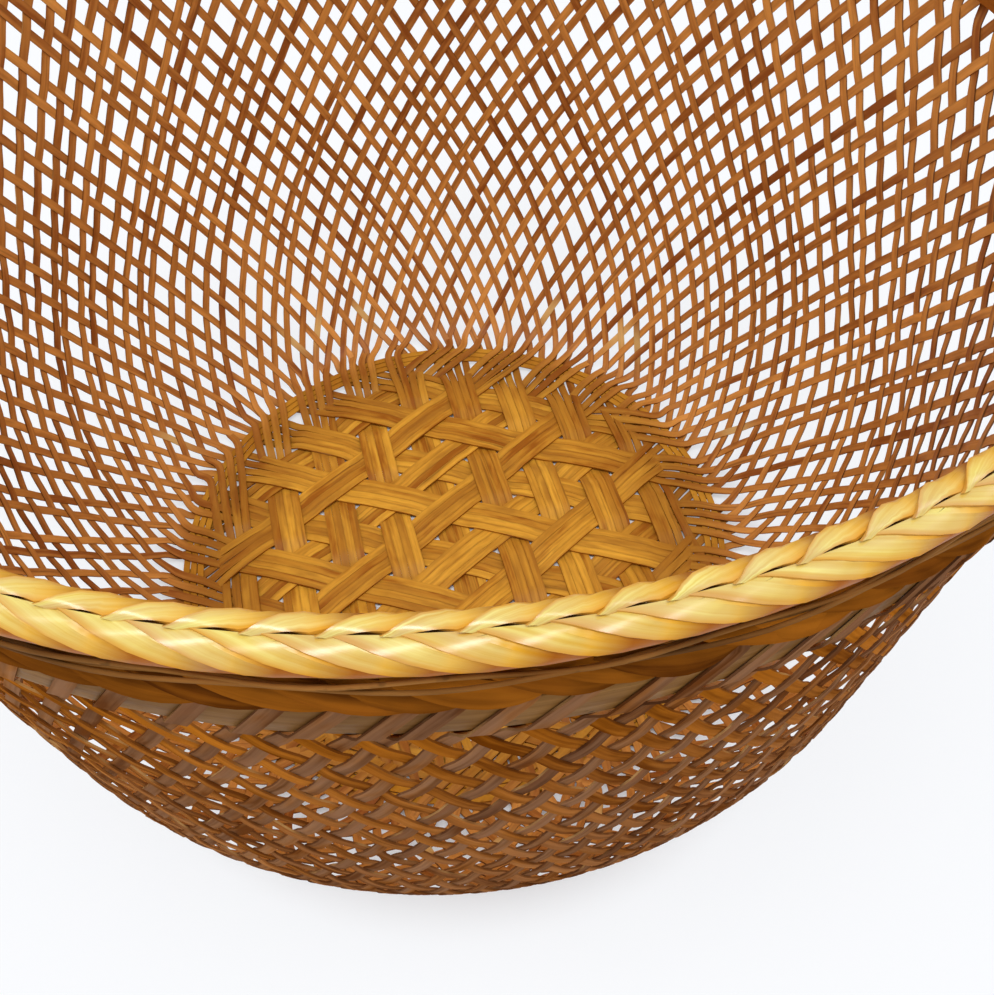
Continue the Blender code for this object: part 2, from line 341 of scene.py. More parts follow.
def make_mesh(name, rows, materials):
    """One mesh object of many ribbons. Each row has points, faces, sides, uv and attributes."""
    points, faces, sides, uvs = [], [], [], []
    extras = {}
    first = 0
    for row in rows:
        points.append(row["points"].reshape(-1, 3))
        faces += [tuple(first + k for k in face) for face in row["faces"]]
        sides += row["sides"]
        uvs.append(row["uv"].reshape(-1, 2))
        for key, value in row["extras"].items():
            every = np.broadcast_to(value, row["points"].shape[:2])
            extras.setdefault(key, []).append(every.reshape(-1))
        first += row["points"].shape[0] * row["points"].shape[1]
    mesh = bpy.data.meshes.new(name)
    mesh.from_pydata(np.concatenate(points).tolist(), [], faces)
    for material in materials:
        mesh.materials.append(material)
    mesh.polygons.foreach_set("material_index", sides)
    mesh.polygons.foreach_set("use_smooth", [True] * len(faces))
    corner = np.empty(len(mesh.loops), int)
    mesh.loops.foreach_get("vertex_index", corner)
    layer = mesh.uv_layers.new(name="fibre")
    layer.data.foreach_set("uv", np.concatenate(uvs)[corner].reshape(-1))
    for key, values in extras.items():
        mesh.attributes.new(key, "FLOAT", "POINT").data.foreach_set("value", np.concatenate(values))
    mesh.update()
    piece = bpy.data.objects.new(name, mesh)
    bpy.context.scene.collection.objects.link(piece)
    mesh.set_sharp_from_angle(angle=SHARP_EDGE)
    return piece


def side_run(end, width):
    """Rungs of one splint on the wall, from the split upward: its surface and inward normals."""
    lean, rank = end["lean"], end["rank"]
    middle = lattice[lean][:, SPLINTS_PER_LEAN + rank]
    slant = np.gradient(middle) / np.gradient(arc) * level_radius
    slim = ease(climb, 0.0, SLIM_CLIMB)
    wall_width = ROOT_WIDTH + (RIM_WIDTH - ROOT_WIDTH) * climb
    width = width / BASE_WIDTH * (BASE_WIDTH * (1.0 - slim) + wall_width * slim)
    reach = width / 2 * np.sqrt(1.0 + slant ** 2) / level_radius
    azimuth = middle[:, None] + reach[:, None] * COLUMNS[None, :]
    offset = np.stack([side_offset(lean, rank, level, azimuth[level]) for level in range(LEVELS)])
    offset = offset + SPLINT_CROWN * (1.0 - COLUMNS[None, :] ** 2)
    inward, upward = level_normal[:, None, 0], level_normal[:, None, 1]
    radius = level_radius[:, None] + inward * offset
    height = level_height[:, None] + upward * offset
    points = np.stack([radius * np.cos(azimuth), radius * np.sin(azimuth), height], 2)
    normal = np.stack([inward * np.cos(azimuth), inward * np.sin(azimuth),
                       np.broadcast_to(upward, azimuth.shape)], 2)
    return points, normal


def base_run(way, number, end, width, bow):
    """Rungs of one splint across the base, between the two places where it leaves its strip."""
    angle = math.radians(WAYS[way][0])
    forward = np.array([math.cos(angle), math.sin(angle)])
    sideways = np.array([-math.sin(angle), math.cos(angle)])
    columns = COLUMNS[None, :] * width / 2
    reach = np.sqrt(SPLIT_RADIUS ** 2 - (end["fanned"] + columns) ** 2)
    count = max(int(2 * reach[0, 1] / RUNG_STEP), FEWEST_RUNGS)
    along = np.linspace(-1.0, 1.0, count)[1:-1, None] * reach
    fanned = ease(np.hypot(along[:, 1], end["across"]), FAN_FROM, SPLIT_RADIUS)[:, None]
    share = along[:, 1:2] / reach[0, 1]
    over = columns + end["across"] + (end["fanned"] - end["across"]) * fanned
    over = over + BOW * bow[0] * np.cos(bow[1] + BOW_TURN * share) * (1.0 - share ** 2) ** 2
    height = base_height(way, number, along)
    plan = along[..., None] * forward + over[..., None] * sideways
    return along, height, plan


def fit_columns(points, normal, rung):
    """Turn the columns of a wall run round if they meet the base's end rung the wrong way."""
    from_first = np.linalg.norm(points[0, 1] - rung[1])
    from_last = np.linalg.norm(points[-1, 1] - rung[1])
    near = points[0] if from_first < from_last else points[-1]
    if np.linalg.norm(near[0] - rung[0]) > np.linalg.norm(near[0] - rung[2]):
        return points[:, ::-1], normal[:, ::-1]
    return points, normal


def face_normals(middle, toward):
    """Unit normals of a ribbon's surface, on the side that toward points to."""
    along = np.gradient(middle, axis=0)
    over = np.repeat((middle[:, 2] - middle[:, 0])[:, None], 3, axis=1)
    normal = np.cross(along, over)
    normal /= np.maximum(np.linalg.norm(normal, axis=2, keepdims=True), 1e-12)
    sign = np.sign(np.sum(normal * toward, axis=2, keepdims=True))
    return normal * np.where(sign == 0, 1.0, sign)


def make_strip(way, number, materials, chance):
    """One strip with its four splints, each a ribbon from rim to rim across the base."""
    rows = []
    strip_tone = chance.normal(0.0, STRIP_TONES)
    bow = chance.normal(), chance.uniform(0.0, 2 * math.pi)
    for slit in range(SPLINTS):
        mine = {e["side"]: e for e in ends if (e["way"], e["number"], e["slit"]) == (way, number, slit)}
        width = BASE_WIDTH * (1.0 - WIDTH_VARIES * abs(chance.normal()))
        along, height, plan = base_run(way, number, mine[1], width, bow)
        to_ring = ease(np.hypot(plan[..., 0], plan[..., 1]), *RING_REACHED)
        at_ring = {side: RING_MIDDLE + (-1.0 if mine[side]["lean"] == "right" else 1.0) * RING_PARTING
                   for side in (1, -1)}
        parted = np.where(along > 0, at_ring[1], at_ring[-1])
        crown = SPLINT_CROWN * (1.0 - COLUMNS ** 2) * to_ring
        height = height * (1.0 - to_ring) + parted * to_ring + crown
        base = np.concatenate([plan, height[..., None]], 2)
        up = np.zeros_like(base)
        up[..., 2] = 1.0

        # Columns on the wall follow the azimuth, which is against the base's columns at one end
        low_points, low_normal = (run[::-1] for run in side_run(mine[-1], width))
        high_points, high_normal = side_run(mine[1], width)
        high_points, high_normal = fit_columns(high_points, high_normal, base[-1])
        low_points, low_normal = fit_columns(low_points, low_normal, base[0])
        middle = np.concatenate([low_points, base, high_points])
        normal = face_normals(middle, np.concatenate([low_normal, up, high_normal]))
        out = np.hypot(middle[:, 1, 0], middle[:, 1, 1])
        thickness = BASE_THICKNESS + (WALL_THICKNESS - BASE_THICKNESS) * ease(out, *THINNING)
        points = ribbon_points(middle, normal, thickness[:, None, None])
        faces, sides = ribbon_faces(len(points))

        uv = fibre_map(length_along(middle[:, 1]), ROUND * width / 2 + slit * SPLINT_PITCH,
                       chance.uniform(0.0, FIBRE_STARTS))
        rise = middle[:, 1, 2]
        # Painted highlight: some splints get a pale glint low on the wall, where they bend up from the
        # base
        has_glint = chance.uniform(0, 1) < GLINT_SHARE
        root_glint = np.exp(-((rise - GLINT_HEIGHT) / GLINT_REACH) ** 2) * has_glint
        first_half = np.arange(len(points)) < len(points) / 2
        right = np.where(first_half, mine[-1]["lean"] == "right", mine[1]["lean"] == "right")
        extras = {
            "tone": np.float32(0.5 * strip_tone + chance.normal(0.0, SPLINT_TONES)),
            "climb": ease(out, *LOOK_CHANGE)[:, None], "height": rise[:, None],
            "root_glint": root_glint[:, None], "right": right.astype(float)[:, None],
            "edge": np.abs(ROUND)[None, :],
        }
        rows.append(dict(points=points, faces=faces, sides=sides, uv=uv, extras=extras))
    return make_mesh(f"strip_{way}_{number + STRIPS_PER_SIDE + 1}", rows, materials)


def new_material(name):
    """A node material, its node tree and its shader."""
    material = bpy.data.materials.new(name)
    material.use_nodes = True
    return material, material.node_tree, material.node_tree.nodes["Principled BSDF"]


def colour(red, green, blue):
    """Linear colour of an sRGB one given from 0 to 255."""
    def linear(c):
        c /= 255.0
        return c / 12.92 if c <= 0.04045 else ((c + 0.055) / 1.055) ** 2.4
    return (linear(red), linear(green), linear(blue), 1.0)


def feed(tree, socket, value):
    """Link a socket to another one, or give it a value."""
    if isinstance(value, bpy.types.NodeSocket):
        tree.links.new(value, socket)
    else:
        socket.default_value = value


def mix(tree, share, first, second):
    """A colour mix: share, first and second are each a socket or a value."""
    node = tree.nodes.new("ShaderNodeMix")
    node.data_type = "RGBA"
    for number, value in ((0, share), (6, first), (7, second)):
        feed(tree, node.inputs[number], value)
    return node.outputs[2]


def maths(tree, kind, *values):
    node = tree.nodes.new("ShaderNodeMath")
    node.operation = kind
    for socket, value in zip(node.inputs, values):
        feed(tree, socket, value)
    return node.outputs[0]


def within_one(tree, value):
    """A number kept from 0 to 1."""
    return maths(tree, "MAXIMUM", maths(tree, "MINIMUM", value, 1.0), 0.0)


def map_range(tree, value, low, high, out_low=0.0, out_high=1.0):
    node = tree.nodes.new("ShaderNodeMapRange")
    for socket, number in zip(node.inputs[1:5], (low, high, out_low, out_high)):
        socket.default_value = number
    tree.links.new(value, node.inputs[0])
    return node.outputs[0]


def attribute(tree, name):
    node = tree.nodes.new("ShaderNodeAttribute")
    node.attribute_name = name
    return node.outputs["Fac"]


def noise_on(tree, place, scale, detail, rough=0.6):
    """Noise on a map or on coordinates, stretched by a scale for each axis."""
    mapping = tree.nodes.new("ShaderNodeMapping")
    mapping.inputs["Scale"].default_value = scale
    tree.links.new(place, mapping.inputs["Vector"])
    noise = tree.nodes.new("ShaderNodeTexNoise")
    noise.inputs["Scale"].default_value = 1.0
    noise.inputs["Detail"].default_value = detail
    noise.inputs["Roughness"].default_value = rough
    tree.links.new(mapping.outputs[0], noise.inputs["Vector"])
    return noise.outputs["Fac"]


def fibre_noise(tree, scale, detail, rough=0.6):
    """Noise that is stretched along the fibres, from the ribbon's own map in metres."""
    uv = tree.nodes.new("ShaderNodeUVMap")
    uv.uv_map = "fibre"
    return noise_on(tree, uv.outputs[0], (*scale, 1.0), detail, rough)


def add_bump(tree, shader, height, strength, distance):
    bump = tree.nodes.new("ShaderNodeBump")
    bump.inputs["Strength"].default_value = strength
    bump.inputs["Distance"].default_value = distance
    tree.links.new(height, bump.inputs["Height"])
    tree.links.new(bump.outputs[0], shader.inputs["Normal"])


# What painted shade at the base's edge, patches, stains, cracks, painted shade in the slits and
# painted highlights on edges and roots add to the bamboo's own tones, each from 0 to 255
BASE_EDGE_SHADE, PATCHED, STAINED = (134, 76, 22), (150, 84, 20), (128, 66, 18)
CRACKED, SLIT_SHADE = (88, 48, 14), (112, 60, 16)
EDGE_GLINT, ROOT_GLINT = (226, 182, 116), (244, 208, 134)


def bamboo_material(name, base_tones, wall_tones, skin=None, gloss=0.34, shine=0.0, outline=0.2,
                    edge_glint=0.0):
    """Split bamboo: golden in the base, orange brown on the wall, with fibres and stains along it, and
    painted shade and highlights.
    """
    material, tree, shader = new_material(name)
    streak = fibre_noise(tree, (16.0, 460.0), 4.0)
    fine = fibre_noise(tree, (40.0, 4200.0), 2.0, 0.5)
    patch = fibre_noise(tree, (34.0, 120.0), 3.0)
    cracks = fibre_noise(tree, (20.0, 560.0), 1.0, 0.5)

    # Each splint has its own tone, with lighter and darker stretches and fibres
    streaks = (0.24, 0.76) if skin else (0.1, 0.9)
    light = maths(tree, "MULTIPLY_ADD", attribute(tree, "tone"), 0.22, map_range(tree, streak, *streaks))
    light = maths(tree, "ADD", light, map_range(tree, patch, 0.3, 0.7, -0.46, 0.46))
    light = within_one(tree, light)
    base = mix(tree, light, colour(*base_tones[0]), colour(*base_tones[1]))
    wall = mix(tree, light, colour(*wall_tones[0]), colour(*wall_tones[1]))

    # The grey skin shows on the splints that lean right, and low on the wall on all of them
    if skin:
        grey = mix(tree, light, colour(*skin[0]), colour(*skin[1]))
        low = map_range(tree, attribute(tree, "height"), 0.180, 0.100, 0.0, 0.6)
        share = maths(tree, "MAXIMUM", low, maths(tree, "MULTIPLY", attribute(tree, "right"), 0.9))
        share = maths(tree, "MULTIPLY", share, map_range(tree, patch, 0.34, 0.56, 0.3, 1.0))
        wall = mix(tree, share, wall, grey)

    # Painted shade: the base is darker away from its middle, where the wall shades it, and darker in
    # patches
    away = tree.nodes.new("ShaderNodeVectorMath")
    away.operation = "LENGTH"
    tree.links.new(tree.nodes.new("ShaderNodeTexCoord").outputs["Object"], away.inputs[0])
    base_edge_shade = map_range(tree, away.outputs["Value"], 0.066, 0.100, 0.0, 0.66)
    base = mix(tree, base_edge_shade, base, colour(*BASE_EDGE_SHADE))
    base = mix(tree, map_range(tree, patch, 0.47, 0.62, 0.0, 0.4), base, colour(*PATCHED))
    body = mix(tree, attribute(tree, "climb"), base, wall)

    body = mix(tree, map_range(tree, patch, 0.50, 0.70, 0.0, 0.5), body, colour(*STAINED))
    dark = map_range(tree, cracks, 0.64, 0.76, 0.0, 0.45)
    body = mix(tree, dark, body, colour(*CRACKED))
    # Painted shade in the slits and gaps beside each splint: its face darkens toward its edges
    slit_shade = maths(tree, "MULTIPLY", map_range(tree, attribute(tree, "edge"), 0.6, 1.0, 0.0, outline),
                   map_range(tree, streak, 0.35, 0.6, 0.4, 1.0))
    body = mix(tree, slit_shade, body, colour(*SLIT_SHADE))
    # Painted highlight: pale stretches along the edge faces, where edges and loose fibres catch the
    # light
    if edge_glint:
        body = mix(tree, map_range(tree, patch, 0.56, 0.66, 0.0, edge_glint), body, colour(*EDGE_GLINT))
    # Painted highlight: pale glints where some splints bend up from the base
    root_glint = maths(tree, "MULTIPLY", attribute(tree, "root_glint"), 0.6)
    body = mix(tree, root_glint, body, colour(*ROOT_GLINT))
    tree.links.new(body, shader.inputs["Base Color"])
    rough = map_range(tree, fine, 0.3, 0.7, gloss, gloss + 0.16)
    tree.links.new(rough, shader.inputs["Roughness"])
    shader.inputs["Specular IOR Level"].default_value = shine
    add_bump(tree, shader, maths(tree, "SUBTRACT", streak, dark), 0.17, 0.00018)
    return material


split_face = bamboo_material("bamboo_split_face", ((164, 96, 21), (255, 192, 66)),
                             ((150, 82, 30), (236, 162, 78)), shine=0.15, outline=0.25)
skin_face = bamboo_material("bamboo_skin_face", ((146, 98, 38), (188, 136, 62)),
                            ((110, 56, 8), (196, 118, 32)), skin=((94, 66, 48), (148, 114, 88)),
                            gloss=0.42, outline=0.08)
split_edge = bamboo_material("bamboo_split_edge", ((150, 92, 24), (196, 134, 46)),
                             ((108, 58, 18), (164, 98, 34)), skin=((80, 54, 38), (124, 90, 66)),
                             gloss=0.45, outline=0.0, edge_glint=0.45)
for way in WAYS:
    for number in range(-STRIPS_PER_SIDE, STRIPS_PER_SIDE + 1):
        strip = make_strip(way, number, (split_face, skin_face, split_edge), chance)
        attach(strip, "root")
        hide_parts(f"base_{strip.name}", "woven_wall")


# BASE RING
# Three fine splints laid side by side round the edge of the base. They pass over the splints that
# lean right and under those that lean left, and so hold the bundles apart before these climb.
RING_RADII = (0.0999, 0.1026, 0.1053)
RING_WIDTH, RING_THICKNESS, RING_CORNER = 0.00235, 0.0007, 0.00015
BAND_STEPS = 216


def turn_band(name, low, high, thickness, corner):
    """A closed band: a circle extruded from one radius and height to another, and thickened."""
    bpy.ops.mesh.primitive_circle_add(vertices=BAND_STEPS, radius=low[0], location=(0.0, 0.0, low[1]))
    band = bpy.context.object
    band.name = name
    bpy.ops.object.mode_set(mode="EDIT")
    bpy.ops.mesh.select_all(action="SELECT")
    bpy.ops.mesh.extrude_region_move(TRANSFORM_OT_translate={"value": (0.0, 0.0, high[1] - low[1])})
    scale = high[0] / low[0]
    bpy.ops.transform.resize(value=(scale, scale, 1.0), center_override=(0.0, 0.0, high[1]))
    bpy.ops.mesh.select_all(action="SELECT")
    bpy.ops.mesh.normals_make_consistent(inside=False)
    bpy.ops.object.mode_set(mode="OBJECT")
    solid = band.modifiers.new("thickness", "SOLIDIFY")
    solid.thickness = thickness
    solid.offset = 0.0
    bevel = band.modifiers.new("worn_corners", "BEVEL")
    bevel.width = corner
    bevel.segments = 2
    bpy.ops.object.modifier_apply(modifier="thickness")
    bpy.ops.object.modifier_apply(modifier="worn_corners")
    bpy.ops.object.transform_apply(location=True, rotation=True, scale=True)
    bpy.ops.object.shade_smooth_by_angle(angle=math.radians(40.0))
    band.select_set(False)
    return band


def band_material(name, tones, fibre, speckle, gloss):
    """Split bamboo that runs round the basket: level streaks, uneven patches and dark specks."""
    material, tree, shader = new_material(name)
    place = tree.nodes.new("ShaderNodeTexCoord").outputs["Object"]
    streak = noise_on(tree, place, (14.0, 14.0, fibre), 4.0)
    patch = noise_on(tree, place, (28.0, 28.0, 60.0), 3.0)
    specks = noise_on(tree, place, (260.0, 260.0, 700.0), 2.0)
    pale, bright, dull = (colour(*tone) for tone in tones)
    body = mix(tree, map_range(tree, streak, 0.3, 0.7), pale, bright)
    body = mix(tree, map_range(tree, patch, 0.42, 0.62, 0.0, 0.7), body, dull)
    body = mix(tree, map_range(tree, specks, 0.66, 0.74, 0.0, speckle), body, colour(62, 44, 30))
    tree.links.new(body, shader.inputs["Base Color"])
    rough = map_range(tree, specks, 0.3, 0.7, gloss, gloss + 0.15)
    tree.links.new(rough, shader.inputs["Roughness"])
    shader.inputs["Specular IOR Level"].default_value = 0.02
    add_bump(tree, shader, streak, 0.4, 0.0002)
    return material


ring_bamboo = band_material("ring_bamboo", ((186, 120, 30), (224, 166, 62), (164, 100, 26)),
                            40.0, 0.25, 0.4)
for number, radius in enumerate(RING_RADII):
    edges = [radius - RING_WIDTH / 2, radius + RING_WIDTH / 2]
    heights = [float(np.interp(edge, level_radius, level_height)) for edge in edges]
    ring = turn_band(f"base_ring_splint_{number + 1}", (edges[0], heights[0]), (edges[1], heights[1]),
                     RING_THICKNESS, RING_CORNER)
    ring.data.materials.append(ring_bamboo)
    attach(ring, "root")
    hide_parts("base_ring")


# HOOPS
# Two flat bands of bamboo that stand on edge near the top. The outer one lies between the splints
# that lean right, outside it, and those that lean left, and the inner one lies inside the wall.
HOOP_THICKNESS, HOOP_CORNER = 0.0009, 0.0002
HOOP_SEAT = 0.0012

hoop_bamboo = band_material("hoop_bamboo", ((124, 84, 40), (156, 114, 62), (104, 68, 32)),
                            700.0, 0.9, 0.4)
inner_bamboo = band_material("inner_hoop_bamboo", ((150, 84, 26), (190, 112, 40), (122, 66, 20)),
                             700.0, 0.3, 0.4)
hoops = {"outer_hoop": (HOOP_SEAT + HOOP_THICKNESS / 2, hoop_bamboo),
         "inner_hoop": (-HOOP_SEAT - HOOP_THICKNESS / 2, inner_bamboo)}
for name, (seat, bamboo) in hoops.items():
    low = (float(wall_radius(HOOP_LOW)) + seat, HOOP_LOW)
    high = (float(wall_radius(HOOP_HIGH)) + seat, HOOP_HIGH)
    hoop = turn_band(f"{name}_band", low, high, HOOP_THICKNESS, HOOP_CORNER)
    hoop.data.materials.append(bamboo)
    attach(hoop, "root")
    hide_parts(name)


# BORDER
# The splints' upper ends are turned down outside the wall and laid along it, each over the one
# before, as a braid of long leaf shapes under the rim. Fine strands twist along its upper edge.
LEAVES, LEAF_RUNGS = 108, 11
LEAF_LENGTH, LEAF_WIDTH, LEAF_TIP, LEAF_THICKNESS = 0.0235, 0.0043, 0.0006, 0.0007
LEAF_TOP, LEAF_BOTTOM = 0.2090, 0.2018
LEAF_SEAT, LEAF_BULGE = 0.00165, 0.0013
LEAF_TILT, LEAF_CROWN = 0.0011, 0.0003

# How much leaves differ: in place and length and width as shares, in height and bulge in metres
ASTRAY, LENGTHS, WIDTHS, HEIGHTS, BULGES = 0.25, 0.12, 0.1, 0.0004, 0.0002


def make_border(material, chance):
    """All leaves of the border in one piece, each a tapered ribbon on the wall's outer side."""
    rows = []
    share = np.linspace(0.0, 1.0, LEAF_RUNGS)
    full = np.sin(math.pi * share)
    for number in range(LEAVES):
        azimuth = 2 * math.pi * (number + ASTRAY * chance.normal()) / LEAVES
        length = LEAF_LENGTH * (1.0 + LENGTHS * chance.normal())
        top = LEAF_TOP + HEIGHTS * chance.normal()
        bottom = LEAF_BOTTOM + HEIGHTS * chance.normal()
        width = LEAF_WIDTH * (1.0 + WIDTHS * chance.normal()) * full ** 0.4 + LEAF_TIP
        fall = top + (bottom - top) * (0.35 * share + 0.65 * ease(share, 0.0, 1.0))
        height = fall[:, None] + width[:, None] / 2 * COLUMNS[None, :]
        swell = LEAF_SEAT + (LEAF_BULGE + BULGES * chance.normal()) * full ** 0.8
        tilt = LEAF_TILT * COLUMNS[None, :] * full[:, None]
        offset = swell[:, None] - tilt + LEAF_CROWN * (1.0 - COLUMNS[None, :] ** 2)
        radius = wall_radius(height) + offset
        around = azimuth + share[:, None] * length / RIM_RADIUS
        middle = np.stack([radius * np.cos(around), radius * np.sin(around), height], 2)
        outward = np.stack([np.cos(around), np.sin(around), np.zeros_like(around)], 2)
        points = ribbon_points(middle, face_normals(middle, outward), LEAF_THICKNESS)
        faces, sides = ribbon_faces(LEAF_RUNGS)
        uv = fibre_map(share * length, ROUND * LEAF_WIDTH / 2, chance.uniform(0.0, FIBRE_STARTS))
        extras = {"tone": np.float32(chance.normal(0.0, 1.1)), "climb": np.float32(1.0),
                  "root_glint": np.float32(0.0), "edge": np.abs(ROUND)[None, :]}
        rows.append(dict(points=points, faces=faces, sides=[UPPER] * len(sides), uv=uv, extras=extras))
    return make_mesh("border_leaves", rows, (material,))


border_tones = ((84, 42, 10), (166, 98, 26))
border_face = bamboo_material("border_bamboo", border_tones, border_tones, gloss=0.3)
border = make_border(border_face, chance)
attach(border, "root")
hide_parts("border_braid")

# Four fine dark strands: each one's waves per turn, distance outside the rim's circle, and height
STRANDS = ((27, 0.0030, 0.2102), (31, 0.0026, 0.2097), (23, 0.0033, 0.2092), (25, 0.0018, 0.2112))
STRAND_THICKNESS = 0.0008
STRAND_STEPS, STRAND_SIDES = 540, 6
STRAND_SWING, STRAND_RISE = 0.0004, 0.0005

strand_bamboo = band_material("strand_bamboo", ((112, 70, 30), (176, 122, 62), (66, 42, 24)),
                              500.0, 0.4, 0.28)
for number, (waves, away, height) in enumerate(STRANDS):
    bpy.ops.mesh.primitive_torus_add(
        major_segments=STRAND_STEPS, minor_segments=STRAND_SIDES, major_radius=RIM_RADIUS + away,
        minor_radius=STRAND_THICKNESS / 2, location=(0.0, 0.0, height))
    strand = bpy.context.object
    strand.name = f"border_strand_{number + 1}"
    bpy.ops.object.transform_apply(location=True, rotation=True, scale=True)
    phase = chance.uniform(0.0, 2 * math.pi)
    for vertex in strand.data.vertices:
        azimuth = math.atan2(vertex.co.y, vertex.co.x) * waves + phase
        swing = 1.0 + STRAND_SWING * math.cos(azimuth) / RIM_RADIUS
        vertex.co.x, vertex.co.y = vertex.co.x * swing, vertex.co.y * swing
        vertex.co.z += STRAND_RISE * math.sin(azimuth)
    bpy.ops.object.shade_smooth()
    strand.data.materials.append(strand_bamboo)
    strand.select_set(False)
    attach(strand, "root")
    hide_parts("border_braid")


# RIM
# A round core wrapped with glossy golden straps. They lie in two rows that start at a spine along
# the top and sweep round to the outside and to the inside, each over the one before it.
STRAPS = 116
STRAP_WIDTH, STRAP_THICKNESS = 0.0052, 0.0005
STRAP_CROWN, STRAP_TILT = 0.00014, 0.00033
STRAP_SLOPE = math.radians(20.0)
STRAP_END = math.radians(-198.0)
STRAP_RUNGS = (0.0, 0.025, 0.055, 0.09, 0.14, 0.20, 0.29, 0.40, 0.53, 0.68, 0.84, 1.0)
WRAP_LOW, WRAP_HIGH = 0.00290, 0.00350

# Shares of a strap's run over which it gets wide and turns square, and, in radians from the spine,
# where it has climbed on its neighbour and where it sinks to half of that again below the rim
WIDENS, SQUARES = 0.26, 0.2
CLIMBED, SINKS = 0.5, (2.3, 3.5)

# How much straps differ: in slope, place and width as shares, and in swelling in metres
SLOPES, PLACES, STRAP_WIDTHS = 0.04, 0.07, 0.05
SWELL, SWELL_VARIES = 0.00006, 0.00005

# Each row: its side of the spine, where it starts, how narrow its start is and how high that lies.
# The inside row starts on top of the outside row, as narrow points that leave dark slits between
# them, and so makes the spine.
ROWS = {"rim_straps_outside": (1, math.radians(-9.0), 0.9, 0.0),
        "rim_straps_inside": (-1, math.radians(12.0), 0.12, 1.0)}


def make_straps(name, material, chance):
    """One row of straps, which sweep from the spine down the outside or the inside of the rim."""
    outside, first, narrowed, lifted = ROWS[name]
    rows = []
    share = np.array(STRAP_RUNGS)
    turned = first + (STRAP_END - first) * share
    for number in range(STRAPS):
        slope = STRAP_SLOPE * (1.0 + SLOPES * chance.normal())
        start = 2 * math.pi * (number + PLACES * chance.normal()) / STRAPS
        ahead = (first - turned) * WRAP_HIGH / math.tan(slope) / RIM_RADIUS
        widened = narrowed + (1.0 - narrowed) * ease(share, 0.0, WIDENS)
        width = STRAP_WIDTH * (1.0 + STRAP_WIDTHS * chance.normal()) * widened
        side = COLUMNS[None, :] * width[:, None] / 2

        # Column -1 is the edge toward the start of the rim, which lies on top of the strap before.
        # The start is cut along the spine, and further on a strap is measured square to its edges.
        square = ease(share, 0.0, SQUARES)[:, None]
        theta = turned[:, None] + square * side * math.cos(slope) / WRAP_HIGH
        across = square * math.sin(slope) + (1.0 - square) / math.sin(slope)
        around = start + ahead[:, None] + side * across / RIM_RADIUS
        turn = first - theta
        rise = (lifted + (1.0 - lifted) * ease(turn, 0.0, CLIMBED)) * (1.0 - 0.5 * ease(turn, *SINKS))
        swell = (SWELL + SWELL_VARIES * abs(chance.normal())) \
            * np.sin(math.pi * np.clip(share * 1.3, 0, 1))
        away = WRAP_LOW + (WRAP_HIGH - WRAP_LOW) * rise + swell[:, None] \
            + STRAP_CROWN * (1.0 - COLUMNS[None, :] ** 2) - STRAP_TILT * COLUMNS[None, :]
        radius = RIM_RADIUS - outside * away * np.sin(theta)
        height = RIM_HEIGHT + away * np.cos(theta)
        middle = np.stack([radius * np.cos(around), radius * np.sin(around), height], 2)
        outward = np.stack([-outside * np.sin(theta) * np.cos(around),
                            -outside * np.sin(theta) * np.sin(around), np.cos(theta)], 2)
        points = ribbon_points(middle, face_normals(middle, outward), STRAP_THICKNESS)
        if outside < 0:
            points = points[:, ::-1]
        faces, sides = ribbon_faces(len(STRAP_RUNGS))
        length = (first - turned) * WRAP_HIGH / math.sin(slope)
        uv = fibre_map(length, ROUND * STRAP_WIDTH / 2, chance.uniform(0.0, FIBRE_STARTS))
        extras = {"tone": np.float32(chance.normal(0.0, 0.8)), "run": share[:, None],
                  "over": ROUND[None, :]}
        rows.append(dict(points=points, faces=faces, sides=[UPPER] * len(sides), uv=uv, extras=extras))
    return make_mesh(name, rows, (material,))


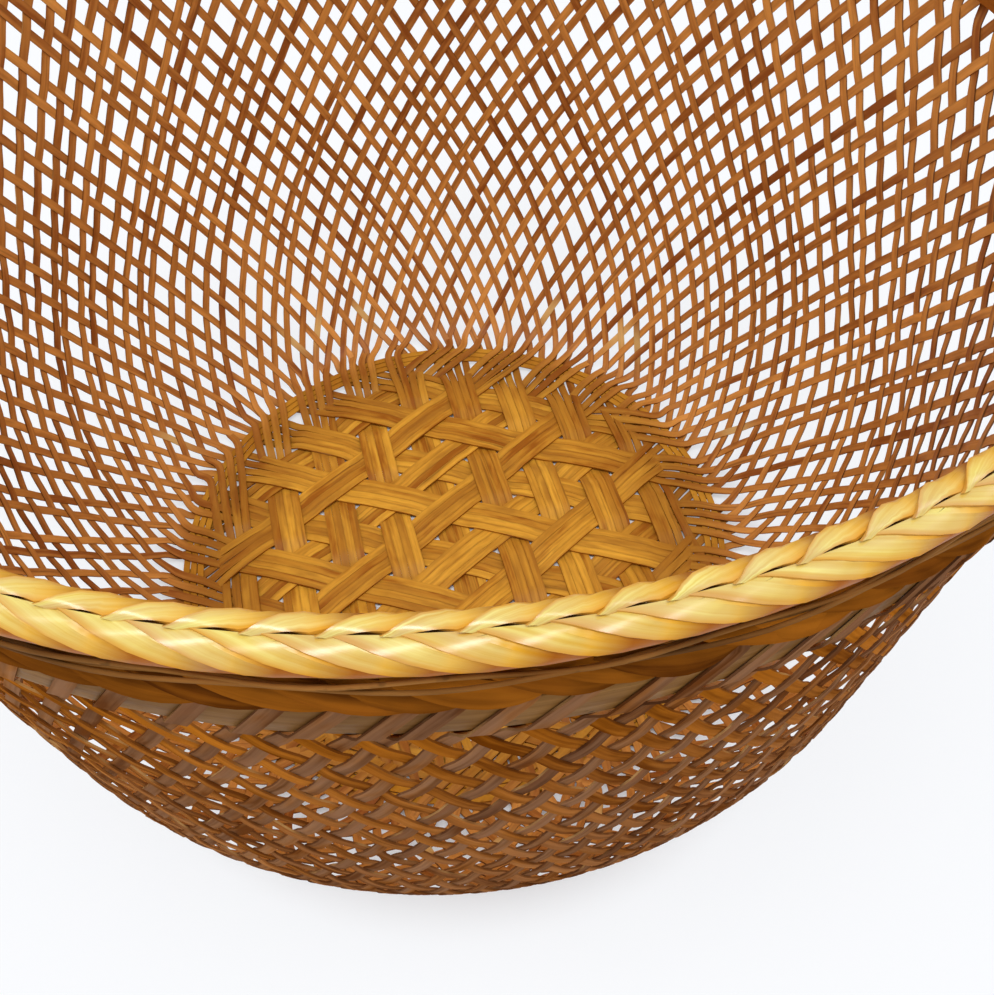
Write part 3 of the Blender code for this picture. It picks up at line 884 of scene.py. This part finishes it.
def golden_material(name):
    """Glossy golden skin: pale fibres, painted shade toward the edges and the ends, partly over the
    skin's own orange, and brown stained starts.
    """
    material, tree, shader = new_material(name)
    streak = fibre_noise(tree, (14.0, 1100.0), 4.0)
    fine = fibre_noise(tree, (60.0, 5200.0), 2.0, 0.5)
    patch = fibre_noise(tree, (60.0, 200.0), 3.0)
    tone, run, over = (attribute(tree, key) for key in ("tone", "run", "over"))
    light = maths(tree, "MULTIPLY_ADD", tone, 0.14, map_range(tree, streak, 0.28, 0.72))
    body = mix(tree, within_one(tree, light), colour(214, 178, 62), colour(240, 233, 146))

    # Painted shade: orange along the edges, where each strap meets its neighbour. Along the strap,
    # orange that is partly the skin's own and partly painted shade as it turns from the light, then
    # brown painted shade where it goes out of sight under the rim
    edge = map_range(tree, maths(tree, "ABSOLUTE", over), 0.6, 1.0, 0.0, 0.75)
    body = mix(tree, edge, body, colour(206, 132, 24))
    body = mix(tree, map_range(tree, run, 0.10, 0.24, 0.0, 0.6), body, colour(230, 156, 28))
    body = mix(tree, map_range(tree, run, 0.24, 0.40, 0.0, 0.95), body, colour(168, 90, 8))
    stain = maths(tree, "MULTIPLY", map_range(tree, run, 0.24, 0.06),
                  map_range(tree, patch, 0.40, 0.62, 0.0, 0.6))
    body = mix(tree, stain, body, colour(204, 144, 50))
    tree.links.new(body, shader.inputs["Base Color"])

    # The skin shines along the top, more in some places than in others
    tree.links.new(map_range(tree, fine, 0.3, 0.7, 0.26, 0.38), shader.inputs["Roughness"])
    shader.inputs["Specular IOR Level"].default_value = 0.06
    glossy = maths(tree, "MULTIPLY", map_range(tree, run, 0.08, 0.25, 1.0, 0.0),
                   map_range(tree, patch, 0.38, 0.56, 0.25, 1.0))
    tree.links.new(glossy, shader.inputs["Coat Weight"])
    shader.inputs["Coat Roughness"].default_value = 0.28
    shader.inputs["Coat IOR"].default_value = 2.1
    grain = maths(tree, "ADD", streak, maths(tree, "MULTIPLY", fine, 0.3))
    add_bump(tree, shader, grain, 0.25, 0.00015)
    return material


golden = golden_material("golden_bamboo")
for name in ROWS:
    straps = make_straps(name, golden, chance)
    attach(straps, "root")
    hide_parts("rim_wrap")

core_bamboo = band_material("core_bamboo", ((92, 56, 24), (126, 80, 36), (70, 42, 18)),
                            300.0, 0.4, 0.6)
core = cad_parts["rim_core"]
core.data.materials.clear()
core.data.materials.append(core_bamboo)


# CAMERA AND STAGE
# The photograph's viewpoint, held over the near rim and looking down into the basket. It stands on
# a plain pale table, under a broad lamp above and weak ones to the left and the right.
CAMERA_PLACE = Vector((0.0, -0.21807, 0.32124))
CAMERA_FORWARD = Vector((0.04584, 0.59637, -0.80140))
CAMERA_ROLL = -0.0129
CAMERA_LENS = 35.07

forward = CAMERA_FORWARD.normalized()
right = forward.cross(Vector((0.0, 0.0, 1.0))).normalized()
upward = right.cross(forward)
rolled_right = right * math.cos(CAMERA_ROLL) + upward * math.sin(CAMERA_ROLL)
rolled_up = upward * math.cos(CAMERA_ROLL) - right * math.sin(CAMERA_ROLL)
camera_data = bpy.data.cameras.new("camera")
camera_data.sensor_width = 36.0
camera_data.sensor_fit = "AUTO"
camera_data.lens = CAMERA_LENS
camera_data.clip_start = 0.01
camera = bpy.data.objects.new("camera", camera_data)
axes = Matrix((rolled_right, rolled_up, -forward)).transposed().to_4x4()
camera.matrix_world = Matrix.Translation(CAMERA_PLACE) @ axes
bpy.context.scene.collection.objects.link(camera)
bpy.context.scene.camera = camera

# The table: only its own shaded surface under the basket, and from there outward mostly a plain
# backdrop colour to the camera and to glossy surfaces, so that shadows stay soft
TABLE_SIZE = 12.0
TABLE_COLOUR = colour(250, 252, 255)
UNDER_BASKET = (0.0, -0.02, 0.0)
BACKDROP_FROM, BACKDROP_FULL, BACKDROP_SHARE = 0.085, 0.13, 0.75
WORLD_STRENGTH = 0.64

bpy.ops.mesh.primitive_plane_add(size=TABLE_SIZE, location=(0.0, 0.0, 0.0))
floor = bpy.context.object
floor.name = "floor"
floor_material, tree, shader = new_material("pale_table")
shader.inputs["Base Color"].default_value = TABLE_COLOUR
shader.inputs["Roughness"].default_value = 0.8
away = tree.nodes.new("ShaderNodeVectorMath")
away.operation = "DISTANCE"
away.inputs[1].default_value = UNDER_BASKET
tree.links.new(tree.nodes.new("ShaderNodeTexCoord").outputs["Object"], away.inputs[0])
clear = map_range(tree, away.outputs["Value"], BACKDROP_FROM, BACKDROP_FULL, 0.0, BACKDROP_SHARE)
ray = tree.nodes.new("ShaderNodeLightPath")
seen = maths(tree, "MAXIMUM", ray.outputs["Is Camera Ray"], ray.outputs["Is Glossy Ray"])
backdrop = tree.nodes.new("ShaderNodeEmission")
backdrop.inputs["Color"].default_value = TABLE_COLOUR
lifted = tree.nodes.new("ShaderNodeMixShader")
tree.links.new(maths(tree, "MULTIPLY", seen, clear), lifted.inputs[0])
tree.links.new(shader.outputs[0], lifted.inputs[1])
tree.links.new(backdrop.outputs[0], lifted.inputs[2])
tree.links.new(lifted.outputs[0], tree.nodes["Material Output"].inputs["Surface"])
floor.data.materials.append(floor_material)

world = bpy.data.worlds.new("studio")
world.use_nodes = True
world.node_tree.nodes["Background"].inputs["Color"].default_value = (1.0, 1.0, 1.0, 1.0)
world.node_tree.nodes["Background"].inputs["Strength"].default_value = WORLD_STRENGTH
bpy.context.scene.world = world

# Each lamp's place, the place that it points to, its two sides and its power
LAMPS = {"key_light": ((-0.05, -0.35, 1.6), (0.0, 0.0, 0.1), (1.4, 0.5), 12.4),
         "left_light": ((-1.2, 0.1, 0.75), (0.1, 0.0, 0.15), (0.6, 0.6), 2.2),
         "right_light": ((1.2, 0.1, 0.75), (-0.1, 0.0, 0.15), (0.6, 0.6), 1.8)}
for name, (place, target, sides, power) in LAMPS.items():
    lamp_data = bpy.data.lights.new(name, "AREA")
    lamp_data.shape = "RECTANGLE"
    lamp_data.size, lamp_data.size_y = sides
    lamp_data.energy = power
    lamp = bpy.data.objects.new(name, lamp_data)
    lamp.location = place
    lamp.rotation_mode = "QUATERNION"
    lamp.rotation_quaternion = (Vector(target) - Vector(place)).to_track_quat("-Z", "Y")
    bpy.context.scene.collection.objects.link(lamp)

bpy.context.scene.view_settings.view_transform = "Standard"
